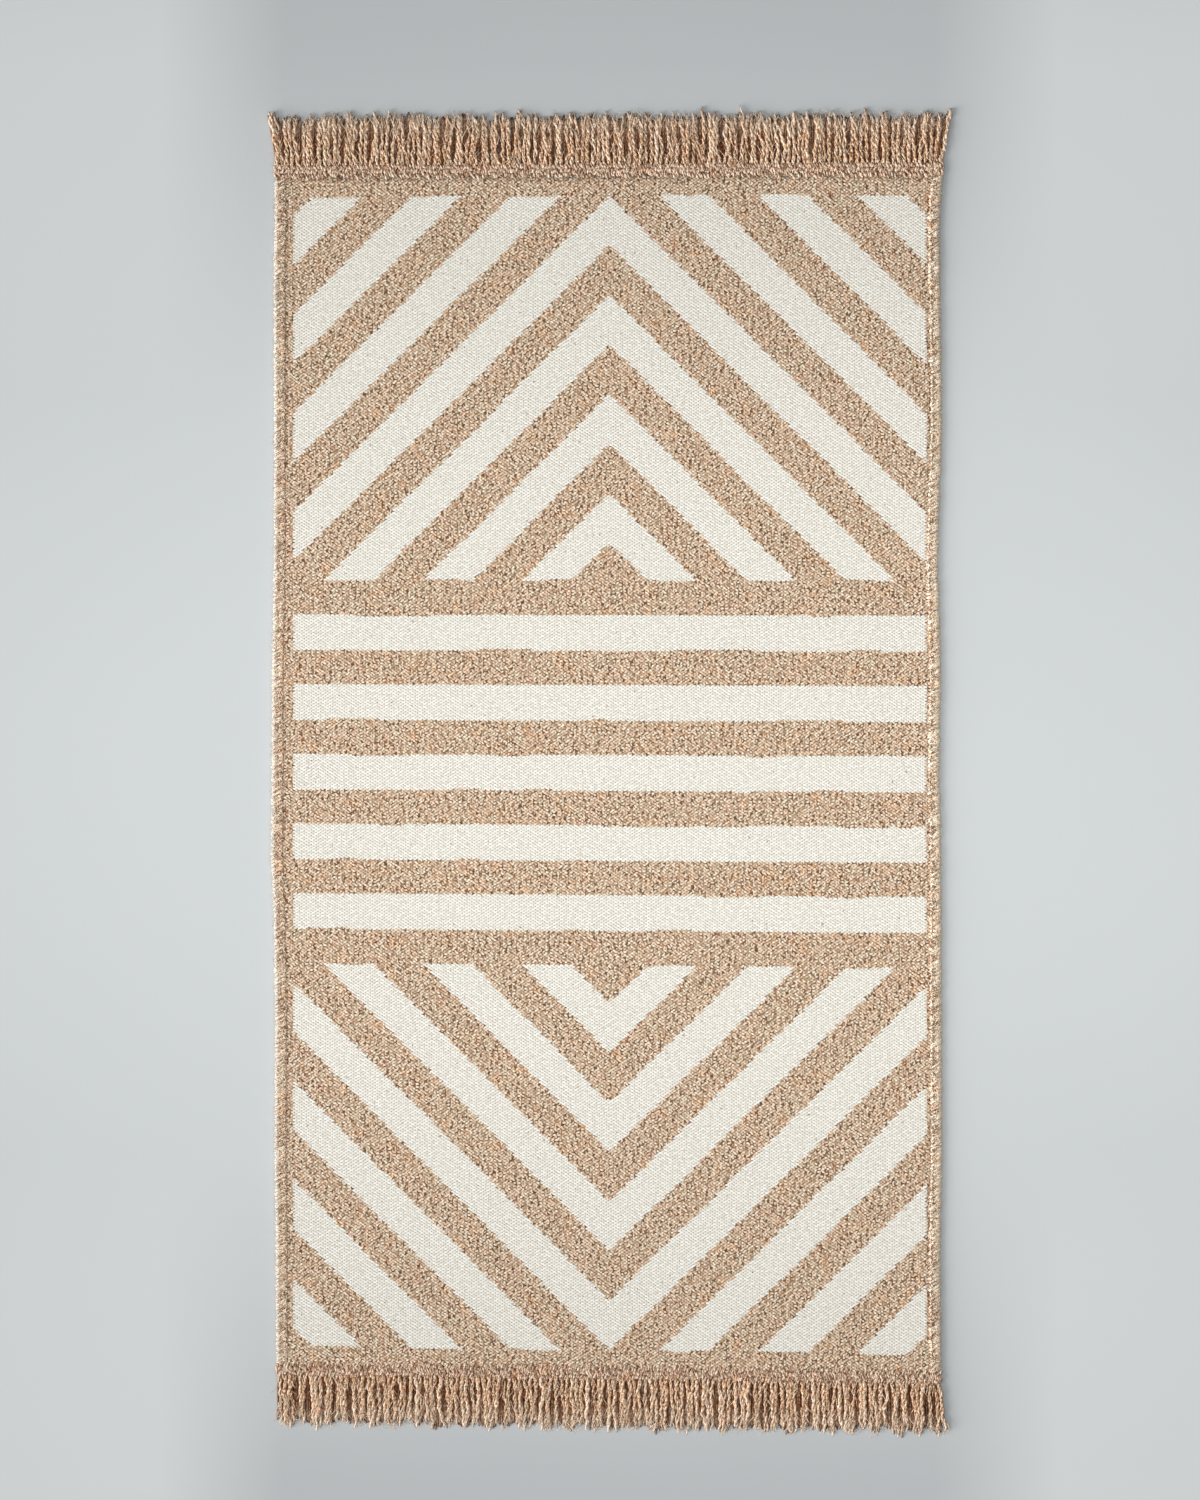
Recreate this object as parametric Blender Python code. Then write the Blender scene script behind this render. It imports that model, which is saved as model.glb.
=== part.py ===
"""Kilim runner rug: a flat-woven mat with overcast long edges and a looped heading and fringe at each end.

Metres, +Z up. The rug lies on the plane z = 0 with its length along Y. The origin is on that plane,
under the middle of the whole rug, fringe included.
"""

import math
import random

import bmesh
import bpy
from mathutils import Vector

# The whole rug
WIDTH = 0.800  # over the two overcast edges
GAP = 0.0003  # between separate pieces
ROWS = 28  # steps along the length of the cloth and the overcast edges

# The woven cloth. Its rim is thinner, where the overcasting grips it
CLOTH_THICKNESS = 0.0044
RIM_THICKNESS = 0.0026

# The overcast edge: yarn wrapped round the rim, flat where it lies on the floor
BINDING_WIDTH = 0.0125
BINDING_HEIGHT = 0.0060
BINDING_FLOOR = 0.0010  # yarn under the rim
BINDING_WEB = 0.0025  # yarn beyond the rim
BINDING_LIP = 0.0009  # yarn over the rim at the edge's inner side
BINDING_CROWN = 0.0075  # how far in the top stays nearly level before it falls to the lip
CROWN_DROP = 0.0002
ROUND_STEPS = 5  # flats round the outer side

# The heading: a row of upright yarn loops, one for each strand of fringe
HEADING_WIDTH = 0.0130
HEADING_RIDGE = 0.0052
HEADING_VALLEY = 0.0044

# The fringe: one strand for each loop of the heading
STRANDS = 127  # at each end
STRAND_ROOT_WIDTH = 0.0051
STRAND_ROOT_HEIGHT = 0.0040
STRAND_TOP_SHARE = 0.72  # a strand's width at its top, as a share of its width on the floor
STRAND_LENGTH = 0.0575
STRAND_LONGEST = 0.0660
STRAND_SHORTEST = 0.0500
STRAND_UNEVENNESS = 0.0045  # how far a strand's length strays from the usual one
STRAND_CLEARANCE = 0.0004
HEIGHT_RANGE = (0.88, 1.10)  # a strand's height along it, as a share of its station's height
LEAN_SHARE = 0.7  # how much of a strand's wander is one lean along all of it
CURL_SHARE = 0.5  # and how much turns this way and that from station to station
SPLAY_STRANDS = 3.0  # how many strands from a corner the splay dies away over
EASING_ROUNDS = 60  # passes that push crowded strands apart

# Stations along a strand: distance from the root, width, height, and how far it may wander sideways
STATIONS = [
    {"reach": 0.0170, "width": 0.0050, "height": 0.0044, "wander": 0.0010},
    {"reach": 0.0370, "width": 0.0048, "height": 0.0041, "wander": 0.0022},
    {"reach": 0.0660, "width": 0.0040, "height": 0.0028, "wander": 0.0042},
]

# How strands gather in locks: two waves of lean along the root line, and each strand's own stray
LOCKS = [
    {"shortest": 2.6, "longest": 4.4, "size": 0.55},
    {"shortest": 6.0, "longest": 14.0, "size": 0.30},
]
OWN_STRAY = 0.45

# Each end: the root line's y at the left and right edges, and how far the corner strands splay out
ENDS = {
    "top": {"left_y": 0.7266, "right_y": 0.7302, "left_splay": 0.008, "right_splay": 0.010},
    "bottom": {"left_y": -0.7230, "right_y": -0.7338, "left_splay": 0.000, "right_splay": 0.009},
}

# How far each long edge strays outward from a straight line, in metres, from the top end down
SWAY = [
    {"y": 0.720, "left": -0.0003, "right": 0.0028},
    {"y": 0.690, "left": -0.0014, "right": -0.0018},
    {"y": 0.600, "left": 0.0002, "right": -0.0012},
    {"y": 0.420, "left": -0.0003, "right": 0.0009},
    {"y": 0.255, "left": 0.0000, "right": -0.0036},
    {"y": 0.120, "left": 0.0025, "right": -0.0004},
    {"y": 0.000, "left": 0.0024, "right": -0.0022},
    {"y": -0.090, "left": 0.0034, "right": -0.0001},
    {"y": -0.210, "left": -0.0005, "right": 0.0003},
    {"y": -0.300, "left": -0.0016, "right": 0.0004},
    {"y": -0.450, "left": -0.0008, "right": 0.0011},
    {"y": -0.570, "left": -0.0022, "right": -0.0010},
    {"y": -0.720, "left": -0.0030, "right": -0.0001},
]

# Linear colours
HEATHER = (0.546, 0.416, 0.308)
EDGE_YARN = (0.571, 0.440, 0.331)
FRINGE_YARN = (0.407, 0.277, 0.192)


def clear_scene():
    for item in list(bpy.data.objects):
        bpy.data.objects.remove(item, do_unlink=True)


def yarn_material(name, colour):
    material = bpy.data.materials.new(name)
    material.use_nodes = True
    shader = material.node_tree.nodes["Principled BSDF"]
    shader.inputs["Base Color"].default_value = (*colour, 1.0)
    shader.inputs["Roughness"].default_value = 0.95
    shader.inputs["Metallic"].default_value = 0.0
    return material


def finish_piece(name, mesh_builder, colour):
    """Closes a bmesh into a named object with its own material, its faces pointing out."""
    bmesh.ops.recalc_face_normals(mesh_builder, faces=mesh_builder.faces)
    mesh = bpy.data.meshes.new(name)
    mesh_builder.to_mesh(mesh)
    mesh_builder.free()
    mesh.materials.append(yarn_material(name + "_yarn", colour))
    piece = bpy.data.objects.new(name, mesh)
    bpy.context.scene.collection.objects.link(piece)
    return piece


def between(low, high, share):
    return low + (high - low) * share


def sway_at(side, y):
    """How far an edge strays outward at y, eased from one row of the table to the next."""
    if y >= SWAY[0]["y"]:
        return SWAY[0][side]
    for above, below in zip(SWAY, SWAY[1:]):
        if y >= below["y"]:
            share = (above["y"] - y) / (above["y"] - below["y"])
            eased = share * share * (3 - 2 * share)
            return between(above[side], below[side], eased)
    return SWAY[-1][side]


def edge_x(side, y):
    """The x of the rug's outer edge at y."""
    outward = -1 if side == "left" else 1
    return outward * (WIDTH / 2 + sway_at(side, y))


def cloth_end_y(end, side):
    """The y of the cloth's end at one edge, clear of the heading."""
    inward = -1 if end == "top" else 1
    return ENDS[end][side + "_y"] + inward * (HEADING_WIDTH + GAP)


def row_ends():
    """Each row across the cloth, from the bottom end up, as its points on the left and right edges."""
    rows = []
    for row in range(ROWS + 1):
        ends = []
        for side in ("left", "right"):
            y = between(cloth_end_y("bottom", side), cloth_end_y("top", side), row / ROWS)
            ends.append(Vector((edge_x(side, y), y, 0.0)))
        rows.append(ends)
    return rows


def section_across(section, near, far):
    """A section's points, set in from one end of a row towards the other."""
    along = (far - near).normalized()
    return [near + along * inward + Vector((0.0, 0.0, z)) for inward, z in section]


def loft(name, rings, colour):
    """A closed solid through rings of the same number of points, capped at both ends."""
    builder = bmesh.new()
    made = [[builder.verts.new(point) for point in ring] for ring in rings]
    count = len(rings[0])
    for ring, after in zip(made, made[1:]):
        for i in range(count):
            j = (i + 1) % count
            builder.faces.new((ring[i], ring[j], after[j], after[i]))
    builder.faces.new(made[0])
    builder.faces.new(made[-1])
    return finish_piece(name, builder, colour)


def cloth_section():
    """Half the cloth's outline across the rug, as (distance in from the outer edge, height)."""
    rim_low = BINDING_FLOOR + GAP
    rim_high = rim_low + RIM_THICKNESS
    tip = BINDING_WEB + GAP
    shoulder = BINDING_WIDTH + GAP
    return [
        (shoulder, 0.0),
        (shoulder, rim_low),
        (tip, rim_low),
        (tip, rim_high),
        (shoulder, rim_high),
        (shoulder, CLOTH_THICKNESS),
    ]


def build_cloth():
    section = cloth_section()
    rings = []
    for left, right in row_ends():
        ring = section_across(section, left, right)
        ring += reversed(section_across(section, right, left))
        rings.append(ring)
    return loft("woven_cloth", rings, HEATHER)


def binding_section():
    """The overcast edge's outline, as (distance in from its outer side, height): a C that holds the rim."""
    slot_low = BINDING_FLOOR
    slot_high = BINDING_FLOOR + RIM_THICKNESS + 2 * GAP
    radius = BINDING_HEIGHT / 2
    section = [(BINDING_WIDTH, 0.0)]
    for step in range(ROUND_STEPS + 1):
        turn = math.pi * step / ROUND_STEPS
        section.append((radius - radius * math.sin(turn), radius - radius * math.cos(turn)))
    section += [
        (BINDING_CROWN, BINDING_HEIGHT - CROWN_DROP),
        (BINDING_WIDTH, slot_high + BINDING_LIP),
        (BINDING_WIDTH, slot_high),
        (BINDING_WEB, slot_high),
        (BINDING_WEB, slot_low),
        (BINDING_WIDTH, slot_low),
    ]
    return section


def build_binding(side):
    section = binding_section()
    rings = []
    for left, right in row_ends():
        near, far = (left, right) if side == "left" else (right, left)
        rings.append(section_across(section, near, far))
    return loft("binding_" + side, rings, EDGE_YARN)


def spread_apart(places, least):
    """Places moved sideways as little as need be, so that neighbours are at least that far apart."""
    places = list(places)
    for _ in range(EASING_ROUNDS):
        for i in range(len(places) - 1):
            short = least - (places[i + 1] - places[i])
            if short > 0:
                places[i] -= short / 2
                places[i + 1] += short / 2
    for i in range(len(places) - 1):
        places[i + 1] = max(places[i + 1], places[i] + least)
    return places


def clumped_noise(draw, count):
    """Numbers from about -1 to 1 that drift from strand to strand, so that locks of fringe lean together."""
    values = [draw.uniform(-OWN_STRAY, OWN_STRAY) for _ in range(count)]
    for lock in LOCKS:
        length = draw.uniform(lock["shortest"], lock["longest"])
        phase = draw.uniform(0, math.tau)
        for i in range(count):
            values[i] += lock["size"] * math.sin(math.tau * i / length + phase)
    return values


def splay_at(end, i):
    """How far strand i leans out at its tip because it is near a corner."""
    sizes = ENDS[end]
    left = sizes["left_splay"] * math.exp(-i / SPLAY_STRANDS)
    right = sizes["right_splay"] * math.exp(-(STRANDS - 1 - i) / SPLAY_STRANDS)
    return right - left


def strand_roots(end):
    """The heading's left end, its right end and the x of each strand's root."""
    left = edge_x("left", ENDS[end]["left_y"])
    right = edge_x("right", ENDS[end]["right_y"])
    pitch = (right - left) / STRANDS
    return left, right, [left + (i + 0.5) * pitch for i in range(STRANDS)]


def strand_courses(end):
    """Each strand as a list of (x, reach from the root line, width, height) after its root."""
    draw = random.Random("fringe " + end)
    roots = strand_roots(end)[2]
    places = []
    lean = clumped_noise(draw, STRANDS)
    for station in STATIONS:
        curl = clumped_noise(draw, STRANDS)
        share = station["reach"] / STRAND_LONGEST
        wanted = []
        for i, root in enumerate(roots):
            aside = station["wander"] * (LEAN_SHARE * lean[i] + CURL_SHARE * curl[i])
            wanted.append(root + aside + splay_at(end, i) * share)
        places.append(spread_apart(wanted, station["width"] + STRAND_CLEARANCE))
    lengths = []
    for unevenness in clumped_noise(draw, STRANDS):
        length = STRAND_LENGTH + STRAND_UNEVENNESS * unevenness
        lengths.append(min(STRAND_LONGEST, max(STRAND_SHORTEST, length)))
    courses = []
    for i in range(STRANDS):
        middle, last = STATIONS[-2]["reach"], STATIONS[-1]["reach"]
        cut = (lengths[i] - middle) / (last - middle)
        course = []
        for station, xs in zip(STATIONS[:-1], places[:-1]):
            height = station["height"] * draw.uniform(*HEIGHT_RANGE)
            course.append((xs[i], station["reach"], station["width"], height))
        tip_x = between(places[-2][i], places[-1][i], cut)
        course.append((tip_x, lengths[i], STATIONS[-1]["width"], STATIONS[-1]["height"]))
        courses.append(course)
    return courses


def build_fringe(end):
    """The heading strip with one ridge for each strand, and the strands drawn out of its outer face."""
    outward = 1 if end == "top" else -1
    left, right, roots = strand_roots(end)
    sizes = ENDS[end]
    builder = bmesh.new()

    def root_y(x):
        return between(sizes["left_y"], sizes["right_y"], (x - left) / (right - left))

    def point(x, reach, z):
        """A vertex at that distance out from the root line, which is negative inside the heading."""
        return builder.verts.new((x, root_y(x) + outward * reach, z))

    def column(x, top):
        """The strip's corners at x: low inner, high inner, high outer, strand top, low outer."""
        return [
            point(x, -HEADING_WIDTH, 0.0),
            point(x, -HEADING_WIDTH, top),
            point(x, 0.0, top),
            point(x, 0.0, STRAND_ROOT_HEIGHT),
            point(x, 0.0, 0.0),
        ]

    half_pitch = (right - left) / STRANDS / 2
    valley = column(left, HEADING_VALLEY)
    builder.faces.new(valley)
    for root, course in zip(roots, strand_courses(end)):
        first = column(root - STRAND_ROOT_WIDTH / 2, HEADING_RIDGE)
        second = column(root + STRAND_ROOT_WIDTH / 2, HEADING_RIDGE)
        next_valley = column(root + half_pitch, HEADING_VALLEY)
        cell = [valley, first, second, next_valley]
        for near, far in zip(cell, cell[1:]):
            builder.faces.new((near[1], far[1], far[2], near[2]))
            builder.faces.new((near[2], far[2], far[3], near[3]))
        for near, far in ((valley, first), (second, next_valley)):
            builder.faces.new((near[3], far[3], far[4], near[4]))
        for spare in (first[0], second[0]):
            builder.verts.remove(spare)
        # One face for each cell underneath, and one on the side towards the cloth.
        builder.faces.new((valley[0], next_valley[0], next_valley[4], second[4], first[4], valley[4]))
        builder.faces.new((valley[0], next_valley[0], next_valley[1], second[1], first[1], valley[1]))

        ring = [first[4], second[4], second[3], first[3]]
        for x, reach, width, height in course:
            half_top = width / 2 * STRAND_TOP_SHARE
            after = [
                point(x - width / 2, reach, 0.0),
                point(x + width / 2, reach, 0.0),
                point(x + half_top, reach, height),
                point(x - half_top, reach, height),
            ]
            for i in range(4):
                j = (i + 1) % 4
                builder.faces.new((ring[i], ring[j], after[j], after[i]))
            ring = after
        builder.faces.new(ring)
        valley = next_valley
    builder.faces.new(valley)
    return finish_piece("fringe_" + end, builder, FRINGE_YARN)


def stand_on_origin(pieces):
    """Parents the pieces to one empty, placed so that the origin is under the middle of the whole rug."""
    corners = [vertex.co for piece in pieces for vertex in piece.data.vertices]
    low = Vector([min(corner[axis] for corner in corners) for axis in range(3)])
    high = Vector([max(corner[axis] for corner in corners) for axis in range(3)])
    rug = bpy.data.objects.new("rug", None)
    bpy.context.scene.collection.objects.link(rug)
    rug.location = (-(low.x + high.x) / 2, -(low.y + high.y) / 2, -low.z)
    for piece in pieces:
        piece.parent = rug


clear_scene()
stand_on_origin([
    build_cloth(),
    build_binding("left"),
    build_binding("right"),
    build_fringe("top"),
    build_fringe("bottom"),
])
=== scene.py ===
"""A kilim runner rug laid flat: woven cloth, overcast long edges, looped headings and fringe."""

import math

import bpy
import numpy as np
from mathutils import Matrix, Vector


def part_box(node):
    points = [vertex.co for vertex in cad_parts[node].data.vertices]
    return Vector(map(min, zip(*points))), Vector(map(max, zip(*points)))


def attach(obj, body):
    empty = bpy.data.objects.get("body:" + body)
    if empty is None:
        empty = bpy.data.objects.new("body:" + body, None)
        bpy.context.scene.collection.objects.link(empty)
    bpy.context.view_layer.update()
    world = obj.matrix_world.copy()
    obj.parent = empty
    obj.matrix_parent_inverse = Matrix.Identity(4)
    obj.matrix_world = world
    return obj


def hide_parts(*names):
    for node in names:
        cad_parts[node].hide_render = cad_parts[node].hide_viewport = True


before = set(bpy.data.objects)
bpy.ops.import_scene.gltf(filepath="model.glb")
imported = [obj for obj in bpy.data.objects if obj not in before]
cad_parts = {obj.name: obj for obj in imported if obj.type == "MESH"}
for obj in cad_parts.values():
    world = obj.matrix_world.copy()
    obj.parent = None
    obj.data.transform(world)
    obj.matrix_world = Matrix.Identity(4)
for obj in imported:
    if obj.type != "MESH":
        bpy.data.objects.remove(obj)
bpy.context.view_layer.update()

# ---- Camera -----------------------------------------------------------------------------------------
# A flat rug is shown from straight above on a long lens, so that its sides stay parallel and its
# ends show as much as its middle.
VIEW_LENGTH = 1.80  # of floor, from the top of the frame to the bottom
LENS_MM, SENSOR_MM = 85.0, 36.0
VIEW_CENTRE = (-0.0105, 0.0276)  # the rug lies a little right of and below the middle of the frame

camera = bpy.data.objects.new("overhead_camera", bpy.data.cameras.new("overhead_camera"))
camera.data.lens = LENS_MM
camera.data.sensor_width = SENSOR_MM
camera.location = (*VIEW_CENTRE, VIEW_LENGTH * LENS_MM / SENSOR_MM)
bpy.context.scene.collection.objects.link(camera)
bpy.context.scene.camera = camera

# ---- Woven cloth ------------------------------------------------------------------------------------
# One thick flat weave. Soft wefts of heather tan and of cream cross a hidden warp, and show as small
# grains in brick order. The bands are woven in, so their slanting sides step from grain to grain.
CLOTH_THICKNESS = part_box("woven_cloth")[1].z
RIM_DEPTH = 0.0125  # of the cloth's side that the overcasting covers
RIM_INSET = 0.0030  # from the rug's outer line to the cloth's own edge
RIM_LOW, RIM_HIGH = 0.0017, 0.0035
RIM_PLACES = (0.0, 0.0055, RIM_DEPTH - 0.0020, RIM_DEPTH - 0.0005)  # of the columns along the rim
FIRST_INSIDE = 0.016  # from the cloth's own edge to the first column past the rim
RIM_STEP = 0.002  # over which the cloth rises from the rim to its full thickness
CLOTH_COLUMNS, CLOTH_ROWS = 90, 160
UNDULATION = 0.00035  # how far the cloth's face rises and sinks where it lies a little uneven
SWELLS = [  # height of a swell, and for each of its two waves the turns along x, along y and the start
    (1.0, (7.1, 3.0, 0.4), (-2.2, 9.7, 1.3)),
    (0.6, (19.0, 0.0, 1.0), (4.0, 13.0, 0.0)),
]

GRAIN_PITCH = 0.00566  # along the weft, from one grain to the next in the same row
ROW_PITCH = 0.00373  # from one row to the next but one, where the grains lie in line again
GRAIN_HALF_LENGTH, GRAIN_HALF_WIDTH = 0.0024, 0.00135
GRAIN_TILT = 0.30  # how far a grain slants
TILT_PATCHES = 38.0  # to the metre, in each of which most grains slant the same way
GRAIN_DEPTH, GRAIN_RELIEF = 0.0008, 0.3  # of the bump, and its strength
PLY_SLANT = 0.35  # of the line between the light and the dark ply in a grain
PLY_STRAY = 0.0018  # how far that line lies from the grain's middle, to both sides together
MARLED, MIXED = 0.92, 0.56  # how far the two plies of a grain differ, and one grain from those around it
SWAY_SCALE, SWAY = 30.0, 0.0022  # of the rows: swells to the metre, and how far they go in all
JITTER_SCALE = 420.0  # of the grains' outlines
CREAM_JITTER, MORE_JITTER = 0.0004, 0.0006  # and how much more in the softer heather
FIBRES_ALONG, FIBRES_ACROSS = 900.0, 1500.0  # to the metre of weft

BAND = 0.042  # width of a cream band, and of the heather between bands
BAND_STRAY_SCALE, BAND_STRAY = 9.0, 0.006  # of the bands' sides, as the rows' sway
FIELD_LEFT, FIELD_RIGHT = -0.3777, 0.3795
FIELD_HALF_LENGTH = 0.692
MIDDLE_BANDS = 5
MIDDLE_HALF_LENGTH = BAND * (MIDDLE_BANDS - 0.5)
PANEL_START = MIDDLE_HALF_LENGTH + BAND
SKEW_MIDDLE, SKEW_PER_METRE = -0.0045, 0.0123  # the rows' slope, which turns from one end to the other


def srgb(*channels):
    """A display colour, three numbers from 0 to 255, as a linear colour."""
    linear = [c / 255 / 12.92 if c < 10.3 else ((c / 255 + 0.055) / 1.055) ** 2.4 for c in channels]
    return (*linear, 1.0)


HEATHER_FLECKS = [
    (0.00, srgb(116, 87, 64)),
    (0.12, srgb(156, 125, 98)),
    (0.30, srgb(194, 165, 137)),
    (0.50, srgb(221, 194, 167)),
    (0.74, srgb(242, 219, 193)),
    (1.00, srgb(255, 243, 222)),
]
HEATHER_DRIFT = [
    (0.30, (1.07, 0.94, 0.82, 1)),
    (0.40, (1.02, 0.97, 0.94, 1)),
    (0.52, (1.00, 0.99, 0.98, 1)),
    (0.70, (0.97, 1.00, 0.98, 1)),
]
CREAM_FLECKS = [
    (0.00, srgb(232, 227, 214)),
    (1.00, srgb(255, 252, 244)),
]
CREAM_SPECK = srgb(146, 116, 86)
SPECK_SCALE, SPECK_LEVEL, SPECK_STRENGTH = 240.0, 0.735, 0.75  # of specks of husk in the cream
HEATHER_PIT_SHADE, CREAM_PIT_SHADE = (0.26, 0.19, 0.14, 1), (0.31, 0.28, 0.23, 1)  # what the painted shade in the pits leaves of a colour
PIT_EDGE, PIT_LEVEL, CREAM_PIT_LEVEL = 1.4, 0.30, 0.18  # how sharply the painted shade in the pits sets in, and how light it stays
FULL_LIGHT = (1, 1, 1, 1)
DRIFT_SCALE = 75.0  # of the yarn's tans: swells to the metre
SPECULAR, SHEEN_ROUGHNESS = 0.12, 0.6


class Wire:
    """The output of a node. Arithmetic on wires adds Math nodes to their material."""

    def __init__(self, tree, socket):
        self.tree, self.socket = tree, socket

    def node(self, kind, settings=None, sockets=None, output=0):
        """Adds a node. Its settings are set first, and then each socket gets its value or wire."""
        made = self.tree.nodes.new(kind)
        for name, value in (settings or {}).items():
            if name == "stops":
                elements = made.color_ramp.elements
                while len(elements) < len(value):
                    elements.new(1.0)
                for element, (position, colour) in zip(elements, value):
                    element.position, element.color = position, colour
            else:
                setattr(made, name, value)
        for name, value in (sockets or {}).items():
            if isinstance(value, Wire):
                self.tree.links.new(value.socket, made.inputs[name])
            else:
                made.inputs[name].default_value = value
        return Wire(self.tree, made.outputs[output])

    def math(self, operation, *values):
        return self.node("ShaderNodeMath", {"operation": operation}, dict(enumerate(values)))

    def __add__(self, other):
        return self.math("ADD", self, other)

    def __sub__(self, other):
        return self.math("SUBTRACT", self, other)

    def __rsub__(self, other):
        return self.math("SUBTRACT", other, self)

    def __mul__(self, other):
        return self.math("MULTIPLY", self, other)

    def __truediv__(self, other):
        return self.math("DIVIDE", self, other)

    def __lt__(self, other):
        return self.math("LESS_THAN", self, other)

    def __gt__(self, other):
        return self.math("GREATER_THAN", self, other)

    def __abs__(self):
        return self.math("ABSOLUTE", self)

    __radd__ = __add__
    __rmul__ = __mul__

    def floor(self):
        return self.math("FLOOR", self)

    def fraction(self):
        return self.math("FRACT", self)

    def clamped(self, low=0.0, high=1.0):
        return self.math("MAXIMUM", self, low).math("MINIMUM", self.math("MAXIMUM", self, low), high)

    def into(self, shader, socket):
        self.tree.links.new(self.socket, shader.inputs[socket])


def blank_material(name, roughness, sheen):
    """A material's principled shader, and its place coordinates to add nodes to."""
    material = bpy.data.materials.new(name)
    material.use_nodes = True
    shader = material.node_tree.nodes["Principled BSDF"]
    shader.inputs["Roughness"].default_value = roughness
    shader.inputs["Specular IOR Level"].default_value = SPECULAR
    shader.inputs["Sheen Weight"].default_value = sheen
    shader.inputs["Sheen Roughness"].default_value = SHEEN_ROUGHNESS
    place = Wire(material.node_tree, None).node("ShaderNodeTexCoord", output="Object")
    return material, shader, place


def split(wire):
    """A place's x, y and z."""
    return [wire.node("ShaderNodeSeparateXYZ", {}, {0: wire}, axis) for axis in "XYZ"]


def joined(x, y, z):
    """A place from numbers and wires, with one wire at least."""
    source = next(value for value in (x, y, z) if isinstance(value, Wire))
    return source.node("ShaderNodeCombineXYZ", {}, {"X": x, "Y": y, "Z": z})


def noise(place, scale, detail=2.0):
    """Smooth noise from about 0 to 1, with that many swells to the metre."""
    return place.node("ShaderNodeTexNoise", {}, {"Vector": place, "Scale": scale, "Detail": detail})


def random_value(x, y, seed):
    """A number from 0 to 1 for each x and y, without any likeness to that of its neighbours."""
    return x.node("ShaderNodeTexWhiteNoise", {}, {"Vector": joined(x, y, seed)})


def mix(share, first, second, blend="MIX"):
    """A colour from first, where share is 0, to second, where it is 1."""
    source = first if isinstance(first, Wire) else share
    settings = {"data_type": "RGBA", "blend_type": blend}
    return source.node("ShaderNodeMix", settings, {0: share, 6: first, 7: second}, 2)


def darkened(colour, light):
    """A colour times a number."""
    return light.node("ShaderNodeVectorMath", {"operation": "SCALE"}, {0: colour, "Scale": light})


def shaded_in_pits(colour, unshaded_share, pit_shade):
    """A colour as it is where the surface lies open, and multiplied by the painted shade's colour where
    it lies deep.
    """
    return mix(1.0, colour, mix(unshaded_share, pit_shade, FULL_LIGHT), "MULTIPLY")


def ramp(share, stops):
    """A colour between stops of (position, colour)."""
    return share.node("ShaderNodeValToRGB", {"stops": stops}, {"Fac": share})


def raise_surface(shader, height, depth, strength):
    """Relief: depth is in metres, and strength is from 0 to 1."""
    bump = height.node("ShaderNodeBump", {}, {"Height": height, "Distance": depth, "Strength": strength})
    bump.into(shader, "Normal")


def heather_colour(place, pick, tones):
    """A fleck of one of the yarn's tones, which drift from rust to grey over a finger's breadth."""
    drift = ramp(noise(place, DRIFT_SCALE, detail=3.0), HEATHER_DRIFT)
    return mix(1.0, ramp(pick, tones), drift, "MULTIPLY")


def grain_lattice(x, y, half_step, slope):
    """One of the two interlocked sets of grains: height of the nearest one, its centre, and the way it
    slants, 1 or -1. A slope nearer to 0 or to 1 makes the one or the other likelier."""
    columns = x / GRAIN_PITCH + half_step
    rows = y / ROW_PITCH + half_step
    column, row = columns.floor(), rows.floor()
    centre_x = (column + (0.5 - half_step)) * GRAIN_PITCH
    centre_y = (row + (0.5 - half_step)) * ROW_PITCH
    way = 1 - 2 * (random_value(centre_x, centre_y, 3.0) * 0.5 + slope > 0.75)
    across = (columns - column - 0.5) * (GRAIN_PITCH / GRAIN_HALF_LENGTH)
    along = (rows - row - 0.5) * (ROW_PITCH / GRAIN_HALF_WIDTH) + across * way * GRAIN_TILT
    height = 1 - across * across - along * along
    return height, centre_x, centre_y, way


def uneven(grain_x, grain_y):
    """A grain's own lightness, from about -0.8 to 0.8, pushed away from that of the four around it."""
    column = (grain_x * (2 / GRAIN_PITCH) + 0.5).floor()
    row = (grain_y * (2 / ROW_PITCH) + 0.5).floor()

    def own(right, up):
        return random_value(column + right, row + up, 7.0)

    around = own(1, 1) + own(1, -1) + own(-1, 1) + own(-1, -1)
    return own(0, 0) - around * 0.18 - 0.14


def cream_bands(x, y):
    """1 where the bands are cream: plain bands across the middle, and a chevron panel at each end."""
    middle_x = (FIELD_LEFT + FIELD_RIGHT) / 2
    from_middle = abs(x - middle_x)
    from_centre = abs(y)
    in_field = (from_middle < (FIELD_RIGHT - FIELD_LEFT) / 2) * (from_centre < FIELD_HALF_LENGTH)
    plain = (y / (2 * BAND) + 0.25).fraction() < 0.5  # one of them lies across the very middle
    slant_pitch = 2 * BAND * math.sqrt(2)
    apex = FIELD_HALF_LENGTH - slant_pitch / 2
    chevron = ((from_centre + from_middle - apex) / slant_pitch).fraction() < 0.5
    in_middle = from_centre < MIDDLE_HALF_LENGTH
    in_panel = from_centre > PANEL_START
    return in_field * (in_middle * plain + in_panel * chevron)


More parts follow.
